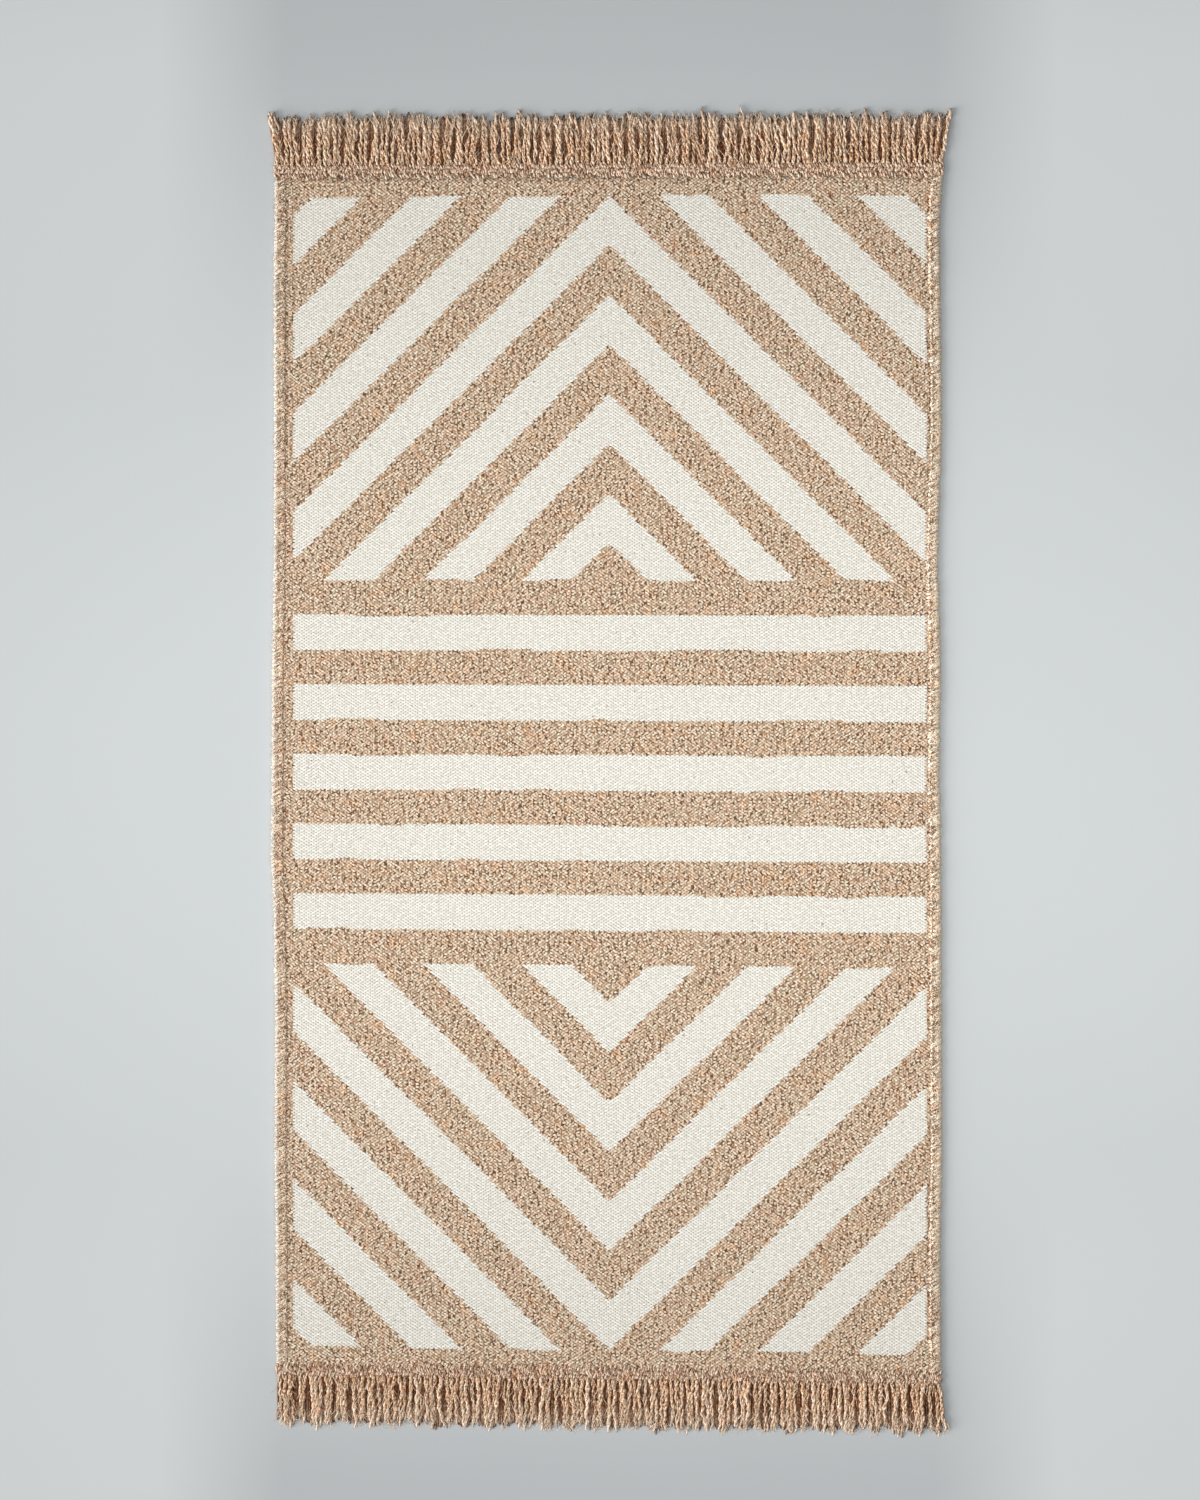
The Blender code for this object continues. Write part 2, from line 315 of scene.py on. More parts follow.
def weave_material():
    """The weave: bands, grains in two interlocked sets, their plies and flecks, and painted shade in the
    pits between them.
    """
    material, shader, place = blank_material("heather_and_cream_weave", roughness=0.95, sheen=0.05)
    x, y, _ = split(place)
    y = y - x * (y * SKEW_PER_METRE + SKEW_MIDDLE)
    sway_x = (noise(place, SWAY_SCALE) - 0.5) * SWAY
    sway_y = (noise(joined(y, x, 3.0), SWAY_SCALE) - 0.5) * SWAY
    loose = 1 - cream_bands(x, y)
    jitter = (noise(place, JITTER_SCALE, detail=1.0) - 0.5) * (loose * MORE_JITTER + CREAM_JITTER)
    woven_x, woven_y = x + sway_x + jitter, y + sway_y - jitter

    slope = noise(place, TILT_PATCHES, detail=1.0)
    height_a, x_a, y_a, way_a = grain_lattice(woven_x, woven_y, 0.0, slope)
    height_b, x_b, y_b, way_b = grain_lattice(woven_x, woven_y, 0.5, slope)
    second = height_b > height_a
    height = height_a.math("MAXIMUM", height_a, height_b)
    grain_x = x_a + (x_b - x_a) * second
    grain_y = y_a + (y_b - y_a) * second
    way = way_a + (way_b - way_a) * second

    band_stray = (noise(place, BAND_STRAY_SCALE) - 0.5) * BAND_STRAY
    cream = cream_bands(grain_x, grain_y + band_stray)

    marling = random_value(grain_x, grain_y, 0.0) - 0.5
    ply_line = (random_value(grain_y, grain_x, 5.0) - 0.5) * PLY_STRAY
    light_ply = (woven_x - grain_x + way * PLY_SLANT * (woven_y - grain_y)) > ply_line
    mixing = uneven(grain_x, grain_y)
    pick = marling * (light_ply * 2 - 1) * MARLED + mixing * MIXED + 0.5
    heather = heather_colour(place, pick, HEATHER_FLECKS)
    speck = (noise(place, SPECK_SCALE, detail=1.0) > SPECK_LEVEL) * SPECK_STRENGTH
    pale = mix(speck, ramp(mixing + 0.5, CREAM_FLECKS), CREAM_SPECK)
    colour = mix(cream, heather, pale)

    # Painted shade: the lower a place lies in its grain, the darker it is painted.
    unshaded_share = (height * PIT_EDGE + PIT_LEVEL + cream * CREAM_PIT_LEVEL).clamped()
    colour = shaded_in_pits(colour, unshaded_share, mix(cream, HEATHER_PIT_SHADE, CREAM_PIT_SHADE))
    fibre = noise(joined(x * FIBRES_ALONG, y * FIBRES_ACROSS, 0.0), 1.0)
    darkened(colour, fibre * 0.2 + 0.9).into(shader, "Base Color")
    raise_surface(shader, height.clamped(-0.4, 1.0) + fibre * 0.3, GRAIN_DEPTH, GRAIN_RELIEF)
    return material


def mesh_of(name, points, faces):
    """A smooth mesh from an array of points and an array of faces that all have as many corners."""
    mesh = bpy.data.meshes.new(name)
    mesh.vertices.add(len(points))
    mesh.vertices.foreach_set("co", points.astype(np.float32).ravel())
    mesh.loops.add(faces.size)
    mesh.loops.foreach_set("vertex_index", faces.astype(np.int32).ravel())
    mesh.polygons.add(len(faces))
    mesh.polygons.foreach_set("loop_start", np.arange(0, faces.size, faces.shape[1], dtype=np.int32))
    mesh.update(calc_edges=True)
    mesh.shade_smooth()
    return mesh


def place_piece(name, mesh, material, slot, *nodes):
    """Links a piece, gives it its finish and lets it ride on the rug in place of those nodes."""
    mesh.materials.append(material)
    piece = bpy.data.objects.new(name, mesh)
    bpy.context.scene.collection.objects.link(piece)
    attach(piece, "root")
    if nodes:
        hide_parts(*nodes)
    return piece


def node_points(name):
    """The corners of a solid node, each one once."""
    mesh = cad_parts[name].data
    points = np.empty(len(mesh.vertices) * 3, np.float32)
    mesh.vertices.foreach_get("co", points)
    return np.unique(points.reshape(-1, 3).astype(float).round(6), axis=0)


SOLID_ROW_GAP = 0.01  # the rows of corners in a solid edge are further apart than this
SOLID_RIDGE = 0.005  # a solid heading's ridges are the only corners above this
INWARD = {"left": 1, "right": -1}
OUTWARD = {"top": 1, "bottom": -1}


def outer_line(side):
    """The rug's outer line down one side, as the solid edge has it: rows of (y, x) from the bottom up."""
    points = node_points("binding_" + side)
    points = points[points[:, 1].argsort()]
    rows = np.split(points, np.flatnonzero(np.diff(points[:, 1]) > SOLID_ROW_GAP) + 1)
    outermost = [row[(row[:, 0] * INWARD[side]).argmin()] for row in rows]
    return np.array([(point[1], point[0]) for point in outermost])


OUTER_LINES = {side: outer_line(side) for side in ("left", "right")}


def outer_x(side, y):
    """The x of the rug's outer line at that y."""
    line = OUTER_LINES[side]
    return np.interp(y, line[:, 0], line[:, 1])


def end_lines(end):
    """The heading's inner line and the root line of the fringe, each as (slope, y at the middle)."""
    ridges = node_points("fringe_" + end)
    ridges = ridges[ridges[:, 2] > SOLID_RIDGE]
    middle = np.polyfit(ridges[:, 0], ridges[:, 1], 1)
    beyond = (ridges[:, 1] - np.polyval(middle, ridges[:, 0])) * OUTWARD[end] > 0
    inner = np.polyfit(ridges[~beyond, 0], ridges[~beyond, 1], 1)
    root = np.polyfit(ridges[beyond, 0], ridges[beyond, 1], 1)
    return inner, root


INNER_LINES, ROOT_LINES = {}, {}
for end in ("top", "bottom"):
    INNER_LINES[end], ROOT_LINES[end] = end_lines(end)


def cloth_points():
    """The cloth's upper and lower faces, each an array of rows by columns by 3."""
    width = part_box("woven_cloth")[1].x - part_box("woven_cloth")[0].x
    rim = np.array(RIM_PLACES) / width
    inside = np.linspace(FIRST_INSIDE / width, 1 - FIRST_INSIDE / width, CLOTH_COLUMNS + 1 - 2 * len(rim))
    across = np.concatenate([rim, inside, 1 - rim[::-1]])
    up = np.linspace(0, 1, CLOTH_ROWS + 1)
    sides = []
    for side, inward in INWARD.items():
        low_y = np.polyval(INNER_LINES["bottom"], OUTER_LINES[side][0, 1])
        high_y = np.polyval(INNER_LINES["top"], OUTER_LINES[side][-1, 1])
        y = low_y + (high_y - low_y) * up
        sides.append(np.stack([outer_x(side, y) + inward * RIM_INSET, y], axis=1))
    flat = sides[0][:, None] * (1 - across[:, None]) + sides[1][:, None] * across[:, None]
    x, y = flat[..., 0], flat[..., 1]
    swell = 0
    for size, (x_1, y_1, start_1), (x_2, y_2, start_2) in SWELLS:
        swell = swell + size * np.sin(x_1 * x + y_1 * y + start_1) * np.sin(x_2 * x + y_2 * y + start_2)
    inset = np.minimum(across, 1 - across) * width + RIM_INSET
    past_rim = np.clip((inset - RIM_DEPTH) / RIM_STEP, 0, 1)
    upper = RIM_HIGH + (CLOTH_THICKNESS + UNDULATION * swell - RIM_HIGH) * past_rim
    lower = RIM_LOW * (1 - past_rim) + 0 * x
    return np.dstack([x, y, upper]), np.dstack([x, y, lower])


def slab_faces(rows, columns):
    """The faces that close two grids of points, one over the other, into one slab."""
    upper = np.arange(rows * columns).reshape(rows, columns)
    lower = upper + rows * columns

    def quads(a, b, c, d):
        return np.stack([a, b, c, d], axis=-1).reshape(-1, 4)

    return np.concatenate([
        quads(upper[:-1, :-1], upper[:-1, 1:], upper[1:, 1:], upper[1:, :-1]),
        quads(lower[:-1, :-1], lower[1:, :-1], lower[1:, 1:], lower[:-1, 1:]),
        quads(upper[0, 1:], upper[0, :-1], lower[0, :-1], lower[0, 1:]),
        quads(upper[-1, :-1], upper[-1, 1:], lower[-1, 1:], lower[-1, :-1]),
        quads(upper[:-1, 0], upper[1:, 0], lower[1:, 0], lower[:-1, 0]),
        quads(upper[1:, -1], upper[:-1, -1], lower[:-1, -1], lower[1:, -1]),
    ])


upper, lower = cloth_points()
slab = np.concatenate([upper.reshape(-1, 3), lower.reshape(-1, 3)])
cloth = place_piece(
    "woven_cloth_flat",
    mesh_of("woven_cloth_flat", slab, slab_faces(*upper.shape[:2])),
    weave_material(),
    "flat_weave",
    "woven_cloth",
)

# ---- Overcast edges ---------------------------------------------------------------------------------
# Each long edge is overcast by machine with the heather yarn. Slanting turns of it wrap the cloth's
# rim from top to underside, and a chain of small stitches runs along their inner ends.
STITCH_PITCH = 0.0047  # from one stitch of the machine to the next
TURNS_PER_STITCH = 2
TURN_RADIUS = 0.00134
TURN_SLANT = 0.0070  # how far a turn climbs from the outer line to the chain
TURN_COURSE = np.array([  # one turn, from the chain over the edge to the underside: inset and height
    (0.0132, 0.0036),
    (0.0112, 0.0042),
    (0.0088, 0.0041),
    (0.0067, 0.0034),
    (0.0043, 0.0043),
    (0.0020, 0.0041),
    (0.0011, 0.0030),
    (0.0018, 0.0019),
    (0.0034, 0.0016),
    (0.0070, 0.0015),
])
OVER_EDGE = 7  # of those places are on top, and the turn slants there
UNDER_SLANT = -0.4  # of the turn on the underside
TURN_MARGIN = 0.0016  # from the end of the edge to the nearest turn
TURN_LOWEST = 0.00148  # height of a turn's middle, so that the turn stays on the floor
TURN_PAIRING, TURN_STRAY = 0.10, 0.12  # of a turn's pitch: how the turns of a stitch part, and stray
TURN_REACH, TURN_RISE, TURN_SWELL = 0.0004, 0.00030, 0.10  # how turns differ out, up and in thickness
TURN_TUCK = (-0.0024, 0.0012)  # of their inner ends under the chain
TURN_DIP, DIP_FROM, DIP_TO = 0.0008, 0.0050, 0.0120  # of uneven dips, and the insets between which
GROOVE_INSET, GROOVE_WIDTH = 0.0067, 0.0016  # the groove along the middle of the turns
GROOVE_FILL = {"left": 0.0, "right": 0.0008}  # how much shallower it is than in the course above
CHAIN_INSET = {"left": 0.0124, "right": 0.0106}
CHAIN_RADIUS = {"left": 0.00095, "right": 0.00098}
CHAIN_LEAN = 0.0026  # from one end of a stitch to the other, to either side by turns
CHAIN_HEIGHT, CHAIN_ARCH = 0.0042, 0.0007
CHAIN_MARGINS = (0.003, 0.009)  # from the bottom and from the top end of the edge
STITCH_STRAY = 0.0003  # of stitches, sideways and up
FRAYED_AND_HIGHLIT_SHARE = {"left": 0.62, "right": 0.80}  # of the turns' colour at the outer line: fraying, and a painted highlight on the rounded edge
PALE_EDGE_DEPTH = 0.0042  # from the outer line inwards, over which that paleness fades
EDGE_HAIRS = {"number": 1100, "margin": 0.006, "length": (0.0020, 0.0055), "height": (0.0015, 0.0050)}
HAIR_TURN, HAIR_BEND = 0.7, 0.8  # of a hair's direction from straight out, and from there to its tip
HAIR_ROOT, HAIR_DROOP = 0.0015, 0.0008
HAIR_RADIUS = 0.00018
YARN_SIDES, HAIR_SIDES, HAIR_POINTS = 6, 4, 5
UP, ALONG_RUG = Vector((0, 0, 1)), Vector((0, 1, 0))
YARN_FLECKS_PER_METRE, YARN_FIBRES_PER_METRE = 640.0, 1500.0
YARN_RELIEF = 0.0006


def yarn_mesh(name, groups, upright, sides=YARN_SIDES):
    """Closed round yarns in one mesh. Each group is (paths, radii, shades, paleness): yarns by points by
    3, yarns by points twice, and yarns by points from 0 to 1. upright is a direction no yarn runs in."""
    points, faces, values = [], [], {"shade": [], "paleness": []}
    start = 0
    for paths, radii, shades, paleness in groups:
        count, steps = radii.shape
        ahead = np.gradient(paths, axis=1)
        ahead /= np.linalg.norm(ahead, axis=2, keepdims=True)
        aside = np.cross(ahead, np.array(upright))
        aside /= np.linalg.norm(aside, axis=2, keepdims=True)
        over = np.cross(aside, ahead)
        angle = np.arange(sides) * math.tau / sides
        spokes = aside[:, :, None] * np.cos(angle)[:, None] + over[:, :, None] * np.sin(angle)[:, None]
        points.append((paths[:, :, None] + spokes * radii[:, :, None, None]).reshape(-1, 3))
        index = start + np.arange(count * steps * sides).reshape(count, steps, sides)
        beside = np.roll(index, -1, axis=2)
        walls = np.stack([index[:, :-1], index[:, 1:], beside[:, 1:], beside[:, :-1]], axis=-1)
        faces.append(walls.reshape(-1, 4))
        for corner in range(0, sides - 2, 2):
            cap = [0, corner + 1, corner + 2, corner + 3]
            faces += [index[:, 0, cap], index[:, -1, cap[::-1]]]
        for key, value in (("shade", shades), ("paleness", paleness)):
            values[key].append(np.repeat(np.broadcast_to(value, radii.shape).reshape(-1), sides))
        start += index.size
    mesh = mesh_of(name, np.concatenate(points), np.concatenate(faces))
    for key, value in values.items():
        mesh.attributes.new(key, "FLOAT", "POINT").data.foreach_set("value", np.concatenate(value))
    return mesh


def yarn_material(name, tones, frayed_and_highlit, shaded_heights, pit_shade, strand_share, fleck_share, streak=1.0):
    """Spun yarn in several tans. A yarn's own shade counts as strand_share, and its flecks, which are
    stretched along the rug where streak is below 1, as fleck_share. Painted shade darkens it below the
    upper of two heights, fully at the lower, and it is pale where it frays, which at the overcast
    edges is a painted highlight as well."""
    material, shader, place = blank_material(name, roughness=0.95, sheen=0.04)
    shade = place.node("ShaderNodeAttribute", {"attribute_name": "shade"}, {}, "Fac")
    paleness = place.node("ShaderNodeAttribute", {"attribute_name": "paleness"}, {}, "Fac")
    x, y, z = split(place)
    fleck = noise(joined(x, y * streak, z), YARN_FLECKS_PER_METRE)
    pick = (0.5 + (shade - 0.5) * strand_share + (fleck - 0.5) * fleck_share).clamped(0.02, 0.98)
    colour = heather_colour(place, pick, tones)
    colour = mix((paleness * (fleck * 2.4 - 0.2)).clamped(), colour, frayed_and_highlit)
    # Painted shade, deepest at the lower height and gone at the upper, lifted where the yarn is pale.
    unshaded_share = ((z - shaded_heights[0]) / (shaded_heights[1] - shaded_heights[0]) + paleness * 1.6).clamped()
    colour = shaded_in_pits(colour, unshaded_share, pit_shade)
    fibre = noise(place, YARN_FIBRES_PER_METRE)
    darkened(colour, fibre * 0.3 + 0.85).into(shader, "Base Color")
    raise_surface(shader, fibre + fleck, YARN_RELIEF, 0.7)
    return material


def wavering(draw, shape, size, waves=3):
    """Small random offsets that change slowly along each yarn."""
    knots = draw.normal(0, size, (shape[0], waves + 1))
    at = np.linspace(0, waves, shape[1])
    low = np.minimum(at.astype(int), waves - 1)
    share = at - low
    eased = share * share * (3 - 2 * share)
    return knots[:, low] * (1 - eased) + knots[:, low + 1] * eased


def overcast_turns(side, draw):
    """The turns of yarn over one long edge, two to a stitch."""
    low_y, high_y = OUTER_LINES[side][0, 0] + TURN_MARGIN, OUTER_LINES[side][-1, 0] - TURN_MARGIN
    pitch = STITCH_PITCH / TURNS_PER_STITCH
    count = int((high_y - low_y) / pitch)
    inset, height = TURN_COURSE.T
    height = height + GROOVE_FILL[side] * np.exp(-(((inset - GROOVE_INSET) / GROOVE_WIDTH) ** 2))
    place = np.arange(len(inset))
    shape = (count, len(inset))
    paired = np.where(np.arange(count) % TURNS_PER_STITCH, -TURN_PAIRING, TURN_PAIRING)
    start = low_y + (np.arange(count) + paired + draw.uniform(-TURN_STRAY, TURN_STRAY, count)) * pitch
    slant = TURN_SLANT * np.where(place < OVER_EDGE, inset / RIM_DEPTH - 0.5, UNDER_SLANT)
    y = np.clip(start[:, None] + INWARD[side] * slant, low_y, high_y)
    reach = draw.normal(0, TURN_REACH, (count, 1)) * np.exp(-(((inset - 0.0015) / 0.003) ** 2))
    tuck = draw.uniform(*TURN_TUCK, (count, 1)) * (place == 0)
    x = outer_x(side, y) + INWARD[side] * (inset - reach + tuck)
    dip = TURN_DIP * wavering(draw, shape, 1.0) * ((inset > DIP_FROM) & (inset < DIP_TO))
    z = np.maximum(height + dip + draw.normal(0, TURN_RISE, (count, 1)), TURN_LOWEST)
    radii = TURN_RADIUS * (1 + wavering(draw, shape, TURN_SWELL))
    radii[:, OVER_EDGE:] = np.minimum(radii[:, OVER_EDGE:], TURN_RADIUS)
    paleness = FRAYED_AND_HIGHLIT_SHARE[side] * np.exp(-((inset / PALE_EDGE_DEPTH) ** 2)) * (place <= OVER_EDGE)
    return np.stack([x, y, z], axis=-1), radii, draw.uniform(0, 1, (count, 1)), paleness


def chain_stitches(side, draw):
    """Small stitches end to end along the turns' inner ends."""
    low_y = OUTER_LINES[side][0, 0] + CHAIN_MARGINS[0]
    high_y = OUTER_LINES[side][-1, 0] - CHAIN_MARGINS[1]
    count = int((high_y - low_y) / STITCH_PITCH)
    at = np.linspace(0, 1, 6)
    arch = np.sin(at * math.pi)
    y = low_y + (np.arange(count)[:, None] + at * draw.uniform(0.75, 1.25, (count, 1))) * STITCH_PITCH
    lean = np.where(np.arange(count) % 2, 1, -1)[:, None] * CHAIN_LEAN * (at - 0.5)
    stray = draw.normal(0, STITCH_STRAY, (count, 1))
    x = outer_x(side, y) + INWARD[side] * (CHAIN_INSET[side] + lean + stray)
    z = CHAIN_HEIGHT + CHAIN_ARCH * arch + draw.normal(0, STITCH_STRAY, (count, 1))
    radii = CHAIN_RADIUS[side] * (0.6 + 0.5 * arch) * np.ones((count, 1))
    return np.stack([x, y, z], axis=-1), radii, draw.uniform(0, 1, (count, 1)), 0.0


def edge_hairs(side, draw):
    """Fine hairs that stand out of the overcasting."""
    each = (EDGE_HAIRS["number"], 1)
    margin = EDGE_HAIRS["margin"]
    low_y, high_y = OUTER_LINES[side][0, 0] + margin, OUTER_LINES[side][-1, 0] - margin
    start_y = draw.uniform(low_y, high_y, each)
    length = draw.uniform(*EDGE_HAIRS["length"], each)
    turn = draw.normal(0, HAIR_TURN, each)
    at = np.linspace(0, 1, HAIR_POINTS)
    bend = turn + draw.normal(0, HAIR_BEND, each) * at
    y = start_y + length * at * np.sin(bend)
    x = outer_x(side, start_y) + INWARD[side] * (HAIR_ROOT - length * at * np.cos(bend))
    z = draw.uniform(*EDGE_HAIRS["height"], each) - HAIR_DROOP * at
    radii = HAIR_RADIUS * np.linspace(1.2, 0.5, HAIR_POINTS) * np.ones(each)
    return np.stack([x, y, z], axis=-1), radii, draw.uniform(0.3, 1, each), 0.8


# Pale colours of the outer line: frayed fibres, and a painted highlight where the rounded edge meets the
# light, brighter on the right side.
FRAYED_AND_HIGHLIT = {"left": srgb(226, 222, 214), "right": srgb(252, 234, 207)}
CHAIN_FLECKS = {
    "left": [(0.0, srgb(168, 138, 112)), (0.5, srgb(212, 184, 158)), (1.0, srgb(242, 224, 202))],
    "right": [(0.0, srgb(130, 100, 76)), (0.4, srgb(172, 146, 121)), (1.0, srgb(210, 192, 169))],
}
# The right side's turns take paler tones than the left side's heather: painted light on the edge that
# faces away from the key light.
TURN_FLECKS = {
    "left": HEATHER_FLECKS,
    "right": [
        (0.0, srgb(110, 80, 57)),
        (0.3, srgb(196, 163, 133)),
        (0.6, srgb(250, 226, 197)),
        (1.0, srgb(255, 252, 240)),
    ],
}
# Heights between which the edge yarns' painted shade fades out, less of it on the right side, and what it
# leaves of a colour.
TURN_SHADED_HEIGHTS = {"left": (0.0026, 0.0048), "right": (0.0017, 0.0041)}
CHAIN_SHADED_HEIGHTS = (0.0026, 0.0045)
EDGE_PIT_SHADE = (0.30, 0.215, 0.155, 1)
for seed, side in enumerate(("left", "right")):
    draw = np.random.default_rng(20 + seed)
    turn_yarn = yarn_material(
        "edge_yarn_" + side, TURN_FLECKS[side], FRAYED_AND_HIGHLIT[side], TURN_SHADED_HEIGHTS[side], EDGE_PIT_SHADE,
        strand_share=0.60, fleck_share=4.2,
    )
    chain_yarn = yarn_material(
        "chain_yarn_" + side, CHAIN_FLECKS[side], FRAYED_AND_HIGHLIT[side], CHAIN_SHADED_HEIGHTS, EDGE_PIT_SHADE,
        strand_share=0.35, fleck_share=4.2,
    )
    turns = yarn_mesh("overcast_" + side, [overcast_turns(side, draw)], ALONG_RUG)
    place_piece("overcast_" + side, turns, turn_yarn, "edge_yarn", "binding_" + side)
    stitches = yarn_mesh("chain_" + side, [chain_stitches(side, draw)], UP)
    place_piece("chain_" + side, stitches, chain_yarn, "edge_yarn")
    hairs = yarn_mesh("edge_hairs_" + side, [edge_hairs(side, draw)], UP, HAIR_SIDES)
    place_piece("edge_hairs_" + side, hairs, turn_yarn, "edge_yarn")

# ---- Headings ---------------------------------------------------------------------------------------
# At each end the warp yarns are looped over a few last wefts in three close rows, which locks the
# cloth. Each row leans against the next, and all stand a little above the weave.
HEADING_ROWS = 3
HEADING_RAGGED = (0.0019, 0.0011, 0.0011)  # how far a row's loops stray along the rug, inner row first
STITCHES_PER_STRAND = 3
HEADING_STITCH_LENGTH, HEADING_STITCH_RADIUS = 0.0062, 0.00122
HEADING_STITCH_LEAN = 0.0026  # from foot to head, one way in one row and the other way in the next
HEADING_STITCH_POINTS = 5
HEADING_HEIGHT, HEADING_ARCH = 0.0031, 0.0011
HEADING_OVERLAP = 0.0020  # of the heading over the cloth
HEADING_MARGIN = 0.0020  # past the first and the last strand of the fringe
CORE_YARNS, CORE_POINTS = 5, 140
CORE_RADIUS, CORE_HEIGHT = 0.00155, 0.0019
FRINGE_STATIONS = (0.017, 0.037, 0.050)  # where the solid strands have corners, and the nearest tip
SHORTEST_STRAND = FRINGE_STATIONS[2]


def strand_roots(end):
    """The x of each strand's root, spread evenly over the heading as the solid strands are."""
    points = node_points("fringe_" + end)
    ridges_x = points[points[:, 2] > SOLID_RIDGE, 0]
    left, right = ridges_x.min(), ridges_x.max()
    count = len(strand_corners(end, FRINGE_STATIONS[0]))
    pitch = (right - left) / (count - 0.2)
    return left + (np.arange(count) + 0.4) * pitch


def strand_corners(end, station):
    """The middle (x, reach) of every solid strand at that distance beyond the root line."""
    points = node_points("fringe_" + end)
    points = points[points[:, 2] < 1e-5]
    reach = (points[:, 1] - np.polyval(ROOT_LINES[end], points[:, 0])) * OUTWARD[end]
    corners = np.stack([points[:, 0], reach], axis=1)
    at_station = reach > station - 0.001
    if station < SHORTEST_STRAND:
        at_station &= reach < station + 0.001
    corners = corners[at_station]
    corners = corners[corners[:, 0].argsort()]
    return (corners[0::2] + corners[1::2]) / 2


def heading_stitches(end, draw):
    """Rows of short stitches, each row leaning against the next."""
    roots = strand_roots(end)
    count = len(roots) * STITCHES_PER_STRAND
    even = np.linspace(roots[0] - HEADING_MARGIN, roots[-1] + HEADING_MARGIN, count)
    at = np.linspace(0, 1, HEADING_STITCH_POINTS)
    arch = np.sin(at * math.pi)
    groups = []
    for row in range(HEADING_ROWS):
        lean = HEADING_STITCH_LEAN * (1 if row % 2 else -1) * draw.uniform(0.3, 1.3, (count, 1))
        x = even[:, None] + draw.normal(0, 0.0004, (count, 1)) + lean * (at - 0.5)
        inner = np.polyval(INNER_LINES[end], x) - OUTWARD[end] * HEADING_OVERLAP
        root = np.polyval(ROOT_LINES[end], x)
        ragged = draw.normal(0, HEADING_RAGGED[row], (count, 1))
        middle = inner + (root - inner) * (row + 0.5) / HEADING_ROWS + OUTWARD[end] * ragged
        y = middle + OUTWARD[end] * HEADING_STITCH_LENGTH * (at - 0.5)
        z = HEADING_HEIGHT + HEADING_ARCH * arch + draw.normal(0, STITCH_STRAY, (count, 1))
        radii = HEADING_STITCH_RADIUS * (0.75 + 0.35 * arch) * draw.uniform(0.85, 1.15, (count, 1))
        groups.append((np.stack([x, y, z], axis=-1), radii, draw.uniform(0, 1, (count, 1)), 0.0))
    return groups


def heading_core(end, draw):
    """The last wefts, which lie under the loops from side to side."""
    roots = strand_roots(end)
    x = np.linspace(roots[0] - HEADING_MARGIN, roots[-1] + HEADING_MARGIN, CORE_POINTS)
    x = x * np.ones((CORE_YARNS, 1))
    share = (np.arange(CORE_YARNS)[:, None] + 0.6) / CORE_YARNS
    inner, root = np.polyval(INNER_LINES[end], x), np.polyval(ROOT_LINES[end], x)
    y = inner + (root - inner) * share + wavering(draw, x.shape, 0.0002)
    return np.stack([x, y, CORE_HEIGHT + 0 * x], axis=-1), CORE_RADIUS * np.ones(x.shape), 0.3, 0.0


# ---- Fringe -----------------------------------------------------------------------------------------
# Beyond the heading the warp yarns lie loose on the floor as strands of two plies, twisted round one
# another, over a flat layer of single yarns. They lean together in locks, and fray at the tips. Lower
# down they are darkened by painted shade, and the flat layer is painted darker still.
TWIST_LENGTH = 0.017
PLY_RADIUS, PLY_SPREAD = 0.00152, 0.00110
THICKNESS = (0.82, 1.16)  # of a strand, as a share of the usual
STRAND_POINTS = 28
STRAND_HEIGHT, STRAND_RISE = 0.0033, 0.0007  # of a strand's middle, and of its plies round that
TIP_DROP = ([0, 0.55, 1], [0.0, 0.0, 0.0012])  # share of the way to the tip, and how far a strand sinks
TIP_TAPER = [0, 0.9, 1]  # shares of the way to the tip, the last of which is thinner
PLY_FRAY = ([0, 0.6, 1], [0.0, 0.04, 0.48])  # share of the way to the tip, and how pale a ply is there
BENDS = ((0.0012, 3), (0.0004, 8))  # of a strand: how far, and how often
STRAND_STRAY, TIP_STRAY = 0.00060, 0.0010  # of a ply from its strand, and more so past STRAY_FROM
STRAY_FROM = 0.6
PLY_LENGTHS = (-0.0002, 0.0034)  # middle and spread of how much longer a ply is than its solid strand
LOCKS = (2, 2, 3, 1, 2, 3, 4, 2, 1, 3, 2, 3)  # how many strands lean together, one lock after another
LOCK_PULL = 0.24  # of the way to the middle of their lock
UNDER_YARNS = 5  # to a strand, side by side on the floor
UNDER_RADIUS = 0.00125
UNDER_LENGTHS = (-0.0012, 0.0022)
UNDER_FRAY = ([0, 0.6, 1], [0.0, 0.03, 0.30])
UNDER_POINTS, UNDER_SIDES = 12, 4
TIP_HAIRS = {
    "number": 11,
    "spread": (3.0, 0.6),
    "length": (0.0040, 0.0120),
    "height": (0.0014, 0.0044),
    "radius": 0.00023,
    "paleness": 0.75,
}
WISPS = {
    "number": 7,
    "spread": (1.0, 1.0),
    "length": (0.0060, 0.0140),
    "height": (0.0046, 0.0058),
    "radius": 0.00034,
    "paleness": 0.25,
}
FIBRE_STRAY, FIBRE_SLANT, FIBRE_BEND = 0.0017, 0.32, 0.5
FIBRE_TAPER = (0.8, 1.2, 1.1, 0.8, 0.4)


